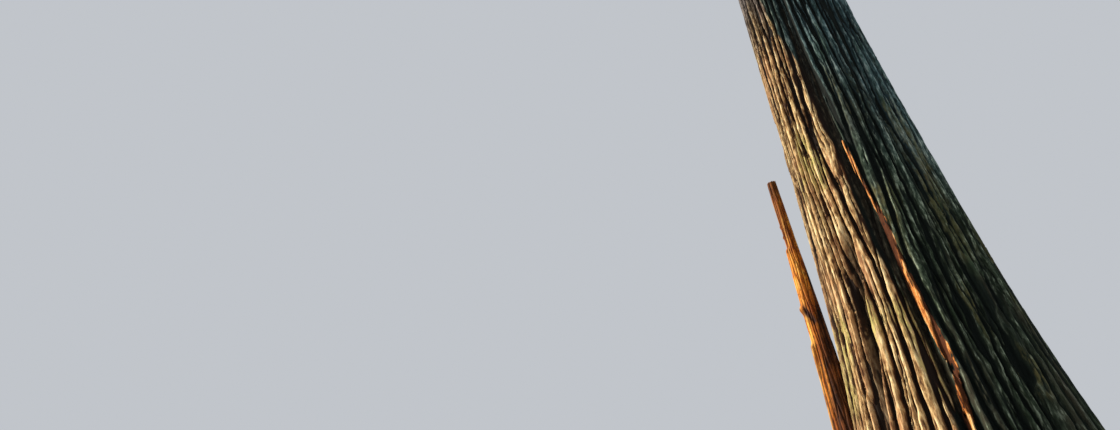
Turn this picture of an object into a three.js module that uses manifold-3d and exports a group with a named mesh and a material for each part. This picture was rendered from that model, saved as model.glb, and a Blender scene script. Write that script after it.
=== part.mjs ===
// A whole old coast redwood at half its real size: a fluted, flaring trunk with a broken dead
// stem at its foot, boughs, and masses of flat needle sprays. Millimetres, +Z up, the origin at
// the middle of the flat cut at ground level, -Y towards the viewer.
import * as THREE from 'three';
import { mergeVertices } from 'three/addons/utils/BufferGeometryUtils.js';
import Module from 'manifold-3d';

const wasm = await Module();
wasm.setup();

// Driving dimensions of the trunk.
const TRUNK_TOP = 39000;
const SHAFT_RADIUS = 800;
const TAPER_HEIGHT = 40600;
const TAPER_POWER = 0.75;
const FLARE = 367;
const FLARE_HEIGHT = 1320;
const ROOT_HEIGHT = 520;
const LEAN = 800;
const LEAN_HEIGHT = 28000;
const TRUNK_SIDES = 48;
const TRUNK_LEVELS = [0, 240, 520, 900, 1400, 2000, 2800, 4000, 6000, 8500, 12000, 16500, 21500,
  26500, 31000, 35000, 37500, TRUNK_TOP];

// Long hollows down the trunk. facing is in degrees to the right of the side that the viewer
// sees, at the ground, and turns by drift degrees a metre up to DRIFT_HEIGHT. half is the half
// width in degrees, and the hollow fades out below its top.
const FLUTES = [
  { facing: 4.5, drift: -2.4, half: 9, depth: 85, top: 20000 },
  { facing: -54, drift: 8.5, half: 7, depth: 60, top: 4000 },
  { facing: 22, drift: 0, half: 8, depth: 50, top: 9000 },
  { facing: 40, drift: -0.6, half: 7, depth: 45, top: 12000 },
  { facing: 74, drift: 1.2, half: 11, depth: 60, top: 15000 },
  { facing: 112, drift: -1.5, half: 9, depth: 55, top: 8000 },
  { facing: 148, drift: 0.8, half: 12, depth: 75, top: 18000 },
  { facing: 190, drift: -1.1, half: 9, depth: 60, top: 10000 },
  { facing: 226, drift: 1.4, half: 11, depth: 70, top: 13000 },
  { facing: 266, drift: -0.8, half: 8, depth: 50, top: 9000 },
];
const DRIFT_HEIGHT = 6000;
const FLUTE_FADE = 1.4;

// Buttress roots, which spread the trunk's foot, stated as the flutes are.
const ROOTS = [
  { facing: -88, half: 30, out: 230 },
  { facing: -31, half: 25, out: 260 },
  { facing: 6, half: 20, out: 200 },
  { facing: 57, half: 28, out: 320 },
  { facing: 96, half: 20, out: 180 },
  { facing: 133, half: 26, out: 290 },
  { facing: 177, half: 22, out: 220 },
  { facing: 219, half: 25, out: 300 },
];

// The dead stem that springs from the root at the trunk's left flank and broke off. It leans away
// from the trunk, more and more with height.
const SPAR_HEIGHT = 5020;
const SPAR_FOOT = { x: -1035, y: 450 };
const SPAR_LEAN = 160;
const SPAR_LEAN_POWER = 1.4;
const SPAR_RADIUS = 160;
const SPAR_TIP_RADIUS = 64;
const SPAR_FLARE = 190;
const SPAR_FLARE_HEIGHT = 380;
const SPAR_SIDES = 9;
const SPAR_FLATS = { least: 0.86, most: 1.1 };
const SPAR_LEVELS = 9;
const SPAR_BREAK = 150;
const SPAR_BREAK_NARROWING = 0.88;
const SPAR_GROUPING = 1.25;

// The crown.
const CROWN_LOW = 13200;
const CROWN_HIGH = 38500;
const CROWN_LIMBS = 35;
const CROWDING = 1.22;
const CROWN_REACH = 4000;
const CROWN_FOOT = { reach: 0.66, until: 0.28 };
const CROWN_TAPER = { from: 0.25, loss: 0.78, power: 1.6 };
const GOLDEN_ANGLE = THREE.MathUtils.degToRad(137.508);
const FIRST_ANGLE = 0.6;
const BOUGH_LIMBS = 13;
const LOW_SPRAYS = [
  { height: 10050, facing: 118 },
  { height: 11200, facing: -62 },
  { height: 11900, facing: 205 },
  { height: 12600, facing: 20 },
];
const LOW_SPRAY = { reach: 950, rise: -0.1, droop: 0.32 };
const SEED = 1931;

// How a limb lies. It starts inside the trunk, rises or droops, and sweeps a little to one side.
// low and high are its numbers at the crown's foot and top, and spread is how far each varies.
const LIMB_START = 0.6;
const LIMB_SWEEP = 0.28;
const LIMB_RISE = { low: 0.06, high: 0.75, spread: 0.1 };
const LIMB_DROOP = { low: 0.3, high: 0.12 };
const LIMB_SPREAD = { height: 150, angle: 0.2 };
const LIMB_REACH = { least: 0.82, most: 1.08 };
const BOUGH_SHARE = { least: 0.36, most: 0.48 };
const LIMB_SAMPLES = 9;
const LIMB_THICKNESS = 0.034;
const LIMB_LEAST_RADIUS = 34;
const COLLAR = 1.35;
const COLLAR_SHARE = 0.22;
const BOUGH_SIDES = 6;
const LIMB_STEPS = 4;
const STEM_END_RADIUS = 20;

// Twigs. They stand off to both sides of the stem, from past its bare foot to near its tip, and
// get shorter outwards.
const TWIGS = 5;
const TWIG_SIDES = 3;
const FIRST_TWIG = { pastBough: 0.1, onStem: 0.3 };
const LAST_TWIG = 0.93;
const TWIG_ROLL = 0.75;
const TWIG_TURN = { least: 0.85, most: 1.2 };
const TWIG_SHARE = 0.4;
const TWIG_SHORTENING = { start: 1.1, loss: 0.55 };
const TWIG_LENGTHS = { least: 0.85, most: 1.15 };
const TWIG_SAG = 0.1;
const TWIG_FOOT = 0.62;
const TWIG_END_RADIUS = 11;

// Sprays of needles: one near each twig's end, one from the middle of its side, and one at the
// stem's end. The shares of a spray's length place its teeth, the notches between and its middle.
const SPRAY_LENGTH = { small: 1500, large: 2450 };
const SPRAY_LENGTHS = { least: 0.85, most: 1.1 };
const SPRAY_WIDTH = 0.6;
const SPRAY_THICKNESS = 0.05;
const SPRAY_TILT = 0.8;
const SPRAY_TOOTH = 0.66;
const SPRAY_NOTCH = { place: 0.5, width: 0.36 };
const SPRAY_MIDDLE = 0.42;
const END_SPRAY_PLACE = 0.93;
const SIDE_SPRAY_PLACE = { least: 0.45, most: 0.65 };
const SIDE_SPRAY = { out: 0.9, lift: 0.2, length: 0.9 };
const STEM_SPRAY_PLACE = 0.985;
const SPRAY_SAG = -0.35;
const STEM_SPRAY_SAG = -0.3;

// A spray that doesn't fit is tried at these shares of its length, and then left out.
const SPRAY_TRIES = [1, 0.8, 0.64, 0.5];

// The leading shoot.
const LEADER_HEIGHT = 740;
const LEADER_REACH = 900;
const LEADER_SPRAY = 420;
const LEADER_TIP_SPRAY = 240;
const LEADER_SPRAY_RISE = 0.6;
const LEADER_ROOM = { from: 30, to: 1000 };

// Clearances. Neighbouring solids stay GAP apart.
const GAP = 0.3;
const BARK_CLEAR = 0.42;
const SPAR_CLEAR = 1.1;
const OWN_SPACE = 35;
const REACH_SLACK = 1.16;
const LIMB_CLEAR = 45;
const TRUNK_CLEAR = 60;

// Edges shorter than this, left where solids are fused, are closed up.
const WELD = 0.5;

const UP = new THREE.Vector3(0, 0, 1);

// The same seeded random numbers, from 0 to 1, on every run.
function seeded(seed) {
  let state = seed >>> 0;
  return () => {
    state = (state + 0x6d2b79f5) >>> 0;
    let mixed = Math.imul(state ^ (state >>> 15), state | 1);
    mixed = (mixed + Math.imul(mixed ^ (mixed >>> 7), mixed | 61)) ^ mixed;
    return ((mixed ^ (mixed >>> 14)) >>> 0) / 4294967296;
  };
}

const lerp = THREE.MathUtils.lerp;
const between = (random, low, high) => lerp(low, high, random());

// Degrees to the right of the viewer's side, as an angle about +Z from +X.
const facingToAngle = (degrees) => THREE.MathUtils.degToRad(degrees - 90);

// Solids.
function toSolid(geometry) {
  const bare = geometry.clone();
  bare.deleteAttribute('normal');
  bare.deleteAttribute('uv');
  const merged = mergeVertices(bare, 1e-3);
  return new wasm.Manifold(new wasm.Mesh({
    numProp: 3,
    vertProperties: new Float32Array(merged.attributes.position.array),
    triVerts: new Uint32Array(merged.index.array),
  }));
}

function toMesh(solid, name, material) {
  const { numProp, vertProperties, triVerts } = solid.getMesh();
  const positions = [];
  for (let i = 0; i < vertProperties.length; i += numProp) {
    positions.push(vertProperties[i], vertProperties[i + 1], vertProperties[i + 2]);
  }
  const geometry = new THREE.BufferGeometry();
  geometry.setAttribute('position', new THREE.Float32BufferAttribute(positions, 3));
  geometry.setIndex(Array.from(triVerts));
  geometry.computeVertexNormals();
  const mesh = new THREE.Mesh(geometry, material);
  mesh.name = name;
  return mesh;
}

// A closed skin whose ring i goes through ringPoint(i, angle), with the middles of its two ends.
function ringSkin(rings, sides, ringPoint, ringMiddle) {
  const geometry = new THREE.CylinderGeometry(1, 1, 1, sides, rings - 1);
  const position = geometry.attributes.position;
  for (let i = 0; i < position.count; i += 1) {
    const ring = Math.round((position.getY(i) + 0.5) * (rings - 1));
    const onAxis = Math.hypot(position.getX(i), position.getZ(i)) < 0.5;
    const angle = Math.atan2(-position.getZ(i), position.getX(i));
    const point = onAxis ? ringMiddle(ring) : ringPoint(ring, angle);
    position.setXYZ(i, point.x, point.y, point.z);
  }
  return geometry;
}

// Two directions square to a path's own at each of its points, turning with it as little as may be.
function framesAlong(points, ends) {
  const frames = [];
  let across = null;
  points.forEach((point, i) => {
    const ahead = points[Math.min(i + 1, points.length - 1)];
    const behind = points[Math.max(i - 1, 0)];
    const along = ahead.clone().sub(behind).normalize();
    if (i === 0 && ends.first) along.copy(ends.first);
    if (i === points.length - 1 && ends.last) along.copy(ends.last);
    const guess = across ?? (Math.abs(along.z) > 0.9 ? new THREE.Vector3(1, 0, 0) : UP);
    const side = new THREE.Vector3().crossVectors(guess, along).normalize();
    across = new THREE.Vector3().crossVectors(along, side).normalize();
    frames.push({ along, side, across });
  });
  return frames;
}

// A limb of round or three-sided section that tapers along its points. ends.first and ends.last
// are the directions that its end faces look along, where they aren't the path's own.
function taperedLimb(points, radii, sides, ends = {}) {
  const frames = framesAlong(points, ends);
  const ringPoint = (ring, angle) => points[ring].clone()
    .addScaledVector(frames[ring].side, radii[ring] * Math.cos(angle))
    .addScaledVector(frames[ring].across, radii[ring] * Math.sin(angle));
  return toSolid(ringSkin(points.length, sides, ringPoint, (ring) => points[ring]));
}

// The trunk.
function trunkAxis(height) {
  return new THREE.Vector3(-LEAN * (1 - Math.exp(-height / LEAN_HEIGHT)), 0, height);
}

// 1 at the middle of a flute or root, falling to 0 at its edges.
function swell(angle, height, { facing, drift = 0, half }) {
  const middle = facingToAngle(facing + (drift * Math.min(height, DRIFT_HEIGHT)) / 1000);
  const away = Math.atan2(Math.sin(angle - middle), Math.cos(angle - middle));
  const share = Math.min(Math.abs(THREE.MathUtils.radToDeg(away)) / half, 1);
  return 0.5 * (1 + Math.cos(Math.PI * share));
}

function fluteDepth(angle, height) {
  return FLUTES.reduce((depth, flute) => {
    const fade = THREE.MathUtils.clamp(FLUTE_FADE * (1 - height / flute.top), 0, 1);
    return depth + flute.depth * fade * swell(angle, height, flute);
  }, 0);
}

function trunkRadius(angle, height) {
  const shaft = SHAFT_RADIUS * (1 - height / TAPER_HEIGHT) ** TAPER_POWER;
  const flare = FLARE * Math.exp(-height / FLARE_HEIGHT);
  const spread = ROOTS.reduce((out, root) => out + root.out * swell(angle, height, root), 0);
  return shaft + flare + spread * Math.exp(-height / ROOT_HEIGHT) - fluteDepth(angle, height);
}

// The trunk's solid, or one that is larger all round, to cut other solids clear of it.
function trunkSolid(growth) {
  const levels = TRUNK_LEVELS.map((level) => level);
  levels[0] -= growth;
  levels[levels.length - 1] += growth;
  const ringPoint = (ring, angle) => {
    const height = THREE.MathUtils.clamp(levels[ring], 0, TRUNK_TOP);
    const radius = trunkRadius(angle, height) + growth;
    const axis = trunkAxis(height);
    return new THREE.Vector3(axis.x + radius * Math.cos(angle),
      axis.y + radius * Math.sin(angle), levels[ring]);
  };
  const middle = (ring) => new THREE.Vector3(trunkAxis(levels[ring]).x, 0, levels[ring]);
  return toSolid(ringSkin(levels.length, TRUNK_SIDES, ringPoint, middle));
}

// The broken stem, with a splintered top, cut clear of the trunk that it stands against.
function sparSolid(trunkCutter) {
  const random = seeded(SEED + 900);
  const splinters = Array.from({ length: SPAR_SIDES }, () => random());
  const flats = Array.from({ length: SPAR_SIDES },
    () => between(random, SPAR_FLATS.least, SPAR_FLATS.most));
  const middle = (ring) => {
    const share = ring / (SPAR_LEVELS - 1);
    const height = SPAR_HEIGHT * share ** SPAR_GROUPING;
    const lean = SPAR_LEAN * (height / SPAR_HEIGHT) ** SPAR_LEAN_POWER;
    const top = ring === SPAR_LEVELS - 1 ? SPAR_BREAK : 0;
    return new THREE.Vector3(SPAR_FOOT.x - lean, SPAR_FOOT.y, height - top);
  };
  const ringPoint = (ring, angle) => {
    const side = Math.round((angle / (2 * Math.PI)) * SPAR_SIDES + SPAR_SIDES) % SPAR_SIDES;
    const centre = middle(ring);
    const taper = lerp(SPAR_RADIUS, SPAR_TIP_RADIUS, centre.z / SPAR_HEIGHT);
    const top = ring === SPAR_LEVELS - 1;
    const narrowing = top ? SPAR_BREAK_NARROWING : 1;
    const flare = SPAR_FLARE * Math.exp(-centre.z / SPAR_FLARE_HEIGHT);
    const radius = (taper + flare) * flats[side] * narrowing;
    const broken = top ? SPAR_BREAK * splinters[side] : 0;
    return new THREE.Vector3(centre.x + radius * Math.cos(angle),
      centre.y + radius * Math.sin(angle), centre.z + broken);
  };
  return toSolid(ringSkin(SPAR_LEVELS, SPAR_SIDES, ringPoint, middle)).subtract(trunkCutter);
}

// How far the crown reaches from the trunk's axis at a height.
function crownReach(height) {
  const share = THREE.MathUtils.clamp((height - CROWN_LOW) / (CROWN_HIGH - CROWN_LOW), 0, 1);
  const widening = lerp(CROWN_FOOT.reach, 1,
    THREE.MathUtils.smoothstep(share, 0, CROWN_FOOT.until));
  const { from, loss, power } = CROWN_TAPER;
  const narrowing = 1 - loss * Math.max(0, (share - from) / (1 - from)) ** power;
  return CROWN_REACH * widening * narrowing;
}

// A limb's plan: a line of points out from the trunk's axis, and what its foliage needs.
function planLimb(name, seed, { height, angle, reach, rise, droop, boughShare }) {
  const random = seeded(seed);
  const start = trunkRadius(angle, height) * LIMB_START;
  const sweep = between(random, -LIMB_SWEEP, LIMB_SWEEP);
  const at = (share) => {
    const out = share * (reach - start);
    const turned = angle + sweep * share * share;
    const axis = trunkAxis(height);
    const lift = out * Math.tan(rise) - droop * reach * share * share;
    return new THREE.Vector3(axis.x + (start + out) * Math.cos(turned),
      (start + out) * Math.sin(turned), height + lift);
  };
  const samples = Array.from({ length: LIMB_SAMPLES }, (_, i) => at(i / (LIMB_SAMPLES - 1)));
  return { name, random, at, samples, reach, boughShare, size: reach - start, upright: false };
}

function planCrown() {
  const limbs = [];
  LOW_SPRAYS.forEach(({ height, facing }, i) => {
    const angle = facingToAngle(facing);
    const { rise, droop } = LOW_SPRAY;
    const reach = trunkRadius(angle, height) + LOW_SPRAY.reach;
    limbs.push(planLimb(`low_spray_${i + 1}`, SEED + 500 + i, {
      height, angle, reach, rise, droop, boughShare: 0,
    }));
  });
  for (let i = 0; i < CROWN_LIMBS; i += 1) {
    const random = seeded(SEED + 100 + i);
    const share = (i + 0.5) / CROWN_LIMBS;
    const spread = (most) => between(random, -most, most);
    const height = lerp(CROWN_LOW, CROWN_HIGH, share ** CROWDING) + spread(LIMB_SPREAD.height);
    const angle = FIRST_ANGLE + i * GOLDEN_ANGLE + spread(LIMB_SPREAD.angle);
    const reach = crownReach(height) * between(random, LIMB_REACH.least, LIMB_REACH.most);
    limbs.push(planLimb(`foliage_${String(i + 1).padStart(2, '0')}`, SEED + 200 + i, {
      height,
      angle,
      reach,
      rise: lerp(LIMB_RISE.low, LIMB_RISE.high, share * share) + spread(LIMB_RISE.spread),
      droop: lerp(LIMB_DROOP.low, LIMB_DROOP.high, share),
      boughShare: i < BOUGH_LIMBS ? between(random, BOUGH_SHARE.least, BOUGH_SHARE.most) : 0,
    }));
  }
  limbs.push(planLeader());
  return limbs;
}

// The leading shoot, which goes on upwards from the trunk's tip.
function planLeader() {
  const foot = trunkAxis(TRUNK_TOP);
  const at = (share) => foot.clone().addScaledVector(UP, GAP + share * LEADER_HEIGHT);
  const samples = Array.from({ length: LIMB_SAMPLES }, (_, i) => at(i / (LIMB_SAMPLES - 1)));
  return {
    name: 'leader',
    random: seeded(SEED + 700),
    at,
    samples,
    reach: LEADER_REACH,
    boughShare: 0,
    size: LEADER_HEIGHT,
    upright: true,
  };
}

// The limb whose line is nearest to a point, and how much nearer it is than any other.
function nearestLimb(point, limbs) {
  let best = null;
  let nearest = Infinity;
  let second = Infinity;
  for (const limb of limbs) {
    let distance = Infinity;
    for (const sample of limb.samples) distance = Math.min(distance, sample.distanceTo(point));
    if (distance < nearest) {
      second = nearest;
      nearest = distance;
      best = limb;
    } else {
      second = Math.min(second, distance);
    }
  }
  return { best, margin: second - nearest };
}

// Whether a point lies in a limb's own space: nearest to it, inside the crown, off the trunk.
function inOwnSpace(point, limb, limbs) {
  if (point.z > TRUNK_TOP + LEADER_ROOM.to) return false;
  if (!limb.upright && point.z < TRUNK_TOP) {
    const axis = trunkAxis(point.z);
    const angle = Math.atan2(point.y - axis.y, point.x - axis.x);
    const out = Math.hypot(point.x - axis.x, point.y - axis.y);
    if (out < trunkRadius(angle, Math.max(point.z, 0)) + TRUNK_CLEAR) return false;
    if (out > limb.reach * REACH_SLACK) return false;
  }
  if (limb.upright && point.z < TRUNK_TOP + LEADER_ROOM.from) return false;
  const { best, margin } = nearestLimb(point, limbs);
  return best === limb && margin > 2 * OWN_SPACE;
}

// Whether a point is clear of the bare part of its own limb.
function clearOfBough(point, limb) {
  if (!limb.boughShare) return true;
  const radius = limbRadius(limb, 0);
  const past = limb.boughShare + FIRST_TWIG.pastBough;
  return limb.samples.every((sample, i) => i / (LIMB_SAMPLES - 1) > past
    || sample.distanceTo(point) > radius + LIMB_CLEAR);
}

function directionAt(limb, share) {
  const step = 0.02;
  return limb.at(share + step).sub(limb.at(share - step)).normalize();
}

function limbRadius(limb, share) {
  const foot = Math.max(LIMB_THICKNESS * limb.reach, LIMB_LEAST_RADIUS);
  const collar = 1 + (COLLAR - 1) * Math.max(0, 1 - share / COLLAR_SHARE);
  return lerp(foot, STEM_END_RADIUS, Math.min(share, 1)) * collar;
}

// A spray of needles: a blade whose edge has forward-pointing teeth, thickest at its middle.
function spraySolid(root, direction, flat, length) {
  const along = direction.clone().normalize();
  const side = new THREE.Vector3().crossVectors(flat, along).normalize();
  const up = new THREE.Vector3().crossVectors(along, side).normalize();
  const place = (forward, out, lift) => root.clone().addScaledVector(along, forward * length)
    .addScaledVector(side, out * length).addScaledVector(up, lift * length);
  const half = SPRAY_WIDTH / 2;
  const notch = half * SPRAY_NOTCH.width;
  const edge = [
    place(0, 0, 0), place(SPRAY_TOOTH, half, 0), place(SPRAY_NOTCH.place, notch, 0),
    place(1, 0, 0), place(SPRAY_NOTCH.place, -notch, 0), place(SPRAY_TOOTH, -half, 0),
  ];
  const top = place(SPRAY_MIDDLE, 0, SPRAY_THICKNESS / 2);
  const bottom = place(SPRAY_MIDDLE, 0, -SPRAY_THICKNESS / 2);
  const corners = [];
  edge.forEach((corner, i) => {
    const next = edge[(i + 1) % edge.length];
    corners.push(top, next, corner, bottom, corner, next);
  });
  const geometry = new THREE.BufferGeometry().setFromPoints(corners);
  geometry.setIndex(corners.map((_, i) => i));
  return { solid: toSolid(geometry), points: [...edge.slice(1), top, bottom] };
}

// A mass of foliage: a stem that goes on from its limb, twigs off it and sprays on them.
function massSolid(limb, limbs, trunkCutter) {
  const { random, at, boughShare, size, upright } = limb;
  const stemPoints = [];
  const stemRadii = [];
  for (let i = 0; i <= LIMB_STEPS; i += 1) {
    const share = lerp(boughShare, 1, i / LIMB_STEPS);
    stemPoints.push(at(share));
    stemRadii.push(limbRadius(limb, share));
  }
  const entry = directionAt(limb, boughShare);
  if (boughShare) stemPoints[0].addScaledVector(entry, GAP);
  let stem = taperedLimb(stemPoints, stemRadii, TWIG_SIDES, boughShare ? { first: entry } : {});
  if (!boughShare && !upright) stem = stem.subtract(trunkCutter);
  const limbParts = [stem];
  const sprays = [];
  const onStem = (share) => {
    const past = THREE.MathUtils.clamp((share - boughShare) / (1 - boughShare), 0, 1);
    const place = past * LIMB_STEPS;
    const before = Math.min(Math.floor(place), LIMB_STEPS - 1);
    return stemPoints[before].clone().lerp(stemPoints[before + 1], place - before);
  };

  const sprayLength = upright ? LEADER_SPRAY
    : lerp(SPRAY_LENGTH.small, SPRAY_LENGTH.large, limb.reach / CROWN_REACH);
  const fits = (points) => points.every((point) => inOwnSpace(point, limb, limbs)
    && clearOfBough(point, limb));
  const addSpray = (root, direction, length) => {
    const tilt = new THREE.Vector3(between(random, -SPRAY_TILT, SPRAY_TILT),
      between(random, -SPRAY_TILT, SPRAY_TILT), 1);
    const full = length * between(random, SPRAY_LENGTHS.least, SPRAY_LENGTHS.most);
    const spray = SPRAY_TRIES.map((share) => spraySolid(root, direction, tilt, full * share))
      .find(({ points, solid }) => fits(points)
        && sprays.every((other) => other.intersect(solid).isEmpty()));
    if (spray) sprays.push(spray.solid);
  };

  const first = boughShare ? boughShare + FIRST_TWIG.pastBough : FIRST_TWIG.onStem;
  for (let k = 0; k < TWIGS; k += 1) {
    const share = lerp(first, LAST_TWIG, k / (TWIGS - 1));
    const root = onStem(share);
    const along = directionAt(limb, share);
    const level = upright ? new THREE.Vector3(1, 0, 0)
      : new THREE.Vector3().crossVectors(UP, along).normalize();
    const lift = new THREE.Vector3().crossVectors(along, level).normalize();
    const roll = upright ? k * GOLDEN_ANGLE
      : (k % 2) * Math.PI + between(random, -TWIG_ROLL, TWIG_ROLL);
    const turn = between(random, TWIG_TURN.least, TWIG_TURN.most);
    const direction = along.clone().multiplyScalar(Math.cos(turn))
      .addScaledVector(level, Math.sin(turn) * Math.cos(roll))
      .addScaledVector(lift, Math.sin(turn) * Math.sin(roll));
    const shortening = TWIG_SHORTENING.start - TWIG_SHORTENING.loss * share;
    const length = TWIG_SHARE * size * shortening
      * between(random, TWIG_LENGTHS.least, TWIG_LENGTHS.most);
    const tip = root.clone().addScaledVector(direction, length)
      .addScaledVector(UP, -TWIG_SAG * length);
    const twigRadius = limbRadius(limb, share) * TWIG_FOOT;
    if (!fits([tip])) continue;
    limbParts.push(taperedLimb([root, tip], [twigRadius, TWIG_END_RADIUS], TWIG_SIDES));

    const onTwig = (t) => root.clone().lerp(tip, t);
    const sag = upright ? LEADER_SPRAY_RISE : SPRAY_SAG;
    addSpray(onTwig(END_SPRAY_PLACE), direction.clone().addScaledVector(UP, sag), sprayLength);
    const side = k % 4 < 2 ? -1 : 1;
    const out = direction.clone().addScaledVector(level, side * SIDE_SPRAY.out)
      .addScaledVector(lift, side * SIDE_SPRAY.lift).addScaledVector(UP, sag);
    const place = between(random, SIDE_SPRAY_PLACE.least, SIDE_SPRAY_PLACE.most);
    addSpray(onTwig(place), out, sprayLength * SIDE_SPRAY.length);
  }
  const end = at(1).sub(at(0.95)).normalize();
  addSpray(onStem(STEM_SPRAY_PLACE), end.addScaledVector(UP, upright ? 0 : STEM_SPRAY_SAG),
    upright ? LEADER_TIP_SPRAY : sprayLength);
  return wasm.Manifold.union([...limbParts, ...sprays]).simplify(WELD);
}

// The bare foot of a big limb, which its mass of foliage goes on from.
function boughSolid(limb, trunkCutter) {
  const points = [];
  const radii = [];
  for (let i = 0; i <= LIMB_STEPS; i += 1) {
    const share = (limb.boughShare * i) / LIMB_STEPS;
    points.push(limb.at(share));
    radii.push(limbRadius(limb, share));
  }
  const ends = { last: directionAt(limb, limb.boughShare) };
  return taperedLimb(points, radii, BOUGH_SIDES, ends).subtract(trunkCutter);
}

const finish = (color, roughness) => new THREE.MeshStandardMaterial({
  color, roughness, metalness: 0, flatShading: true,
});
const bark = finish(0x6a5344, 0.95);
const deadWood = finish(0xa8622c, 0.85);
const boughBark = finish(0x5d4a3c, 0.95);
const foliageGreens = [finish(0x4c6b2a, 0.8), finish(0x5d7a2b, 0.8), finish(0x3c5a2c, 0.8)];

function buildTree() {
  const tree = new THREE.Group();
  tree.name = 'redwood_tree';
  const cutter = trunkSolid(BARK_CLEAR);
  tree.add(toMesh(trunkSolid(0), 'trunk', bark));
  tree.add(toMesh(sparSolid(trunkSolid(SPAR_CLEAR)), 'dead_stem', deadWood));
  const limbs = planCrown();
  limbs.forEach((limb, i) => {
    if (limb.boughShare) {
      tree.add(toMesh(boughSolid(limb, cutter), limb.name.replace('foliage', 'bough'), boughBark));
    }
    const green = foliageGreens[i % foliageGreens.length];
    tree.add(toMesh(massSolid(limb, limbs, cutter), limb.name, green));
  });
  return tree;
}

export default buildTree();
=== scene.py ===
"""A whole old coast redwood at half its real size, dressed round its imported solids. Its crown grows
by the solids' own rule. Metres, +Z up, the viewer on the -Y side."""
import math

import bpy
import numpy as np
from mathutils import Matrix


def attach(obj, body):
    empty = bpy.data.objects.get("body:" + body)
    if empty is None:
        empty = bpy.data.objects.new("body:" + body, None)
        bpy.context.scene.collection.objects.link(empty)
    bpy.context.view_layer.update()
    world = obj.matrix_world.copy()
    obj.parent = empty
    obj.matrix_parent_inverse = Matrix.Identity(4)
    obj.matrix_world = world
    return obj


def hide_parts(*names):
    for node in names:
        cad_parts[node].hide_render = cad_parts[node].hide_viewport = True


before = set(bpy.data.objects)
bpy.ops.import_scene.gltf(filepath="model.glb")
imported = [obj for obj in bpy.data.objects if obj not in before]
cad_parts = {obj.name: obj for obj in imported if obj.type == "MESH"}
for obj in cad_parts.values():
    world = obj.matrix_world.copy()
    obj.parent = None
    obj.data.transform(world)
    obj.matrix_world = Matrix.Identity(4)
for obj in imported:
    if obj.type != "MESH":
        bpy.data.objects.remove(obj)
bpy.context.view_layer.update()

# The photograph's camera, in the tree's frame.
CAMERA_PLACE = (-0.15, -6.25, 0.8)
CAMERA_TURN = 36.0
CAMERA_RISE = 30.8
CAMERA_LENS = 16.0
CAMERA_SIGHT = 2000
SENSOR_WIDTH = 36.0

# The studio: the floor's half side, gap below the tree and colour, the even light, and the suns by
# name, facing, height, strength, softness and colour.
FLOOR_HALF = 600.0
FLOOR_GAP = 0.002
FLOOR_COLOUR = (0.4, 0.395, 0.385)
STUDIO_COLOUR = (0.86, 0.9, 0.96, 1)
STUDIO_STRENGTH = 0.62
SUNS = [
    ("key", -77, 36, 5.9, 9, (1.0, 0.9, 0.76)),
    ("fill", 60, 40, 0.35, 40, (0.85, 0.92, 1.0)),
]

# The trunk, as in the solids.
TRUNK_TOP = 39.0
SHAFT_RADIUS = 0.8
TAPER_HEIGHT = 40.6
TAPER_POWER = 0.75
FLARE = 0.367
FLARE_HEIGHT = 1.32
ROOT_HEIGHT = 0.52
LEAN = 0.8
LEAN_HEIGHT = 28.0
DRIFT_HEIGHT = 6.0
FLUTE_FADE = 1.4

# facing in degrees to the right of the viewer's side at the ground, drift in degrees a metre,
# half width in degrees, depth and top in metres.
FLUTES = [
    (4.5, -2.4, 9, 0.085, 20.0),
    (-54, 8.5, 7, 0.06, 4.0),
    (22, 0, 8, 0.05, 9.0),
    (40, -0.6, 7, 0.045, 12.0),
    (74, 1.2, 11, 0.06, 15.0),
    (112, -1.5, 9, 0.055, 8.0),
    (148, 0.8, 12, 0.075, 18.0),
    (190, -1.1, 9, 0.06, 10.0),
    (226, 1.4, 11, 0.07, 13.0),
    (266, -0.8, 8, 0.05, 9.0),
]

# facing, half width and spread of each buttress root.
ROOTS = [
    (-88, 30, 0.23),
    (-31, 25, 0.26),
    (6, 20, 0.2),
    (57, 28, 0.32),
    (96, 20, 0.18),
    (133, 26, 0.29),
    (177, 22, 0.22),
    (219, 25, 0.3),
]

# The bark's pieces, each between two heights, in so many rings.
TRUNK_COLUMNS = 640
TRUNK_PIECES = [
    ("trunk_bark_foot", 0.0, 2.35, 120),
    ("trunk_bark_low", 2.35, 4.7, 120),
    ("trunk_bark_middle", 4.7, 8.4, 150),
    ("trunk_bark_high", 8.4, TRUNK_TOP, 155),
]
TIP_FROM = 38.2
TIP_NARROWING = 0.35
CAP_MARK = 0.5

# The bark's plates and the strands on them: how many go round, how long one is, the number of its
# draws, and how far sway, waver and jag carry it aside.
PLATES = (50, 2.4, 3, (1.0, 0.13, 0.2))
STRANDS = (104, 1.1, 4, (2.5, 0.4, 0.5))

# Where a plate's and a strand's side begins and ends, as shares of its width, and where it does high
# up or at the far left.
PLATE_SIDE = [(0.13, 0.28), (0.17, 0.33)]
PLATE_HEIGHTS = (3.6, 5.6)
STRAND_SIDE = [(0.1, 0.23), (0.17, 0.32)]
STRAND_BREAKS = (0.22, 0.5)

# Soft patterns on the bark: how many cells go round, how high one is, and the number of its draws.
SWAY = (9, 2.4, 1)
WAVER = (48, 0.45, 2)
PATCHES = (30, 0.6, 6)
CHIPS = (300, 0.07, 7)
BREAKS = (70, 0.35, 8)
SMALL_JAG = (130, 0.11, 9)
LARGE_JAG = (90, 0.3, 10)
THREADS = (190, 0.3, 11)
JAG = 0.65

# A cell's shape, its middle's distance from its edges, and how cells in line with each other merge.
CELL_SHAPE = 0.036
CELL_MARGIN = 0.06
CELL_MERGE = 0.4
CELL_MERGE_SLANTS = (0.2, 0.6)

# Depths of the relief on a shaft of full size, and the sizes between which it grows.
FURROW_DEPTH = 0.052
STRAND_DEPTH = 0.02
PLATE_STEP = 0.014
STRAND_STEP = 0.35 * PLATE_STEP
RIDGE_STAND = 0.007
CHIP_STAND = 0.004
RELIEF_SIZES = (0.1, 1.15)

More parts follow.
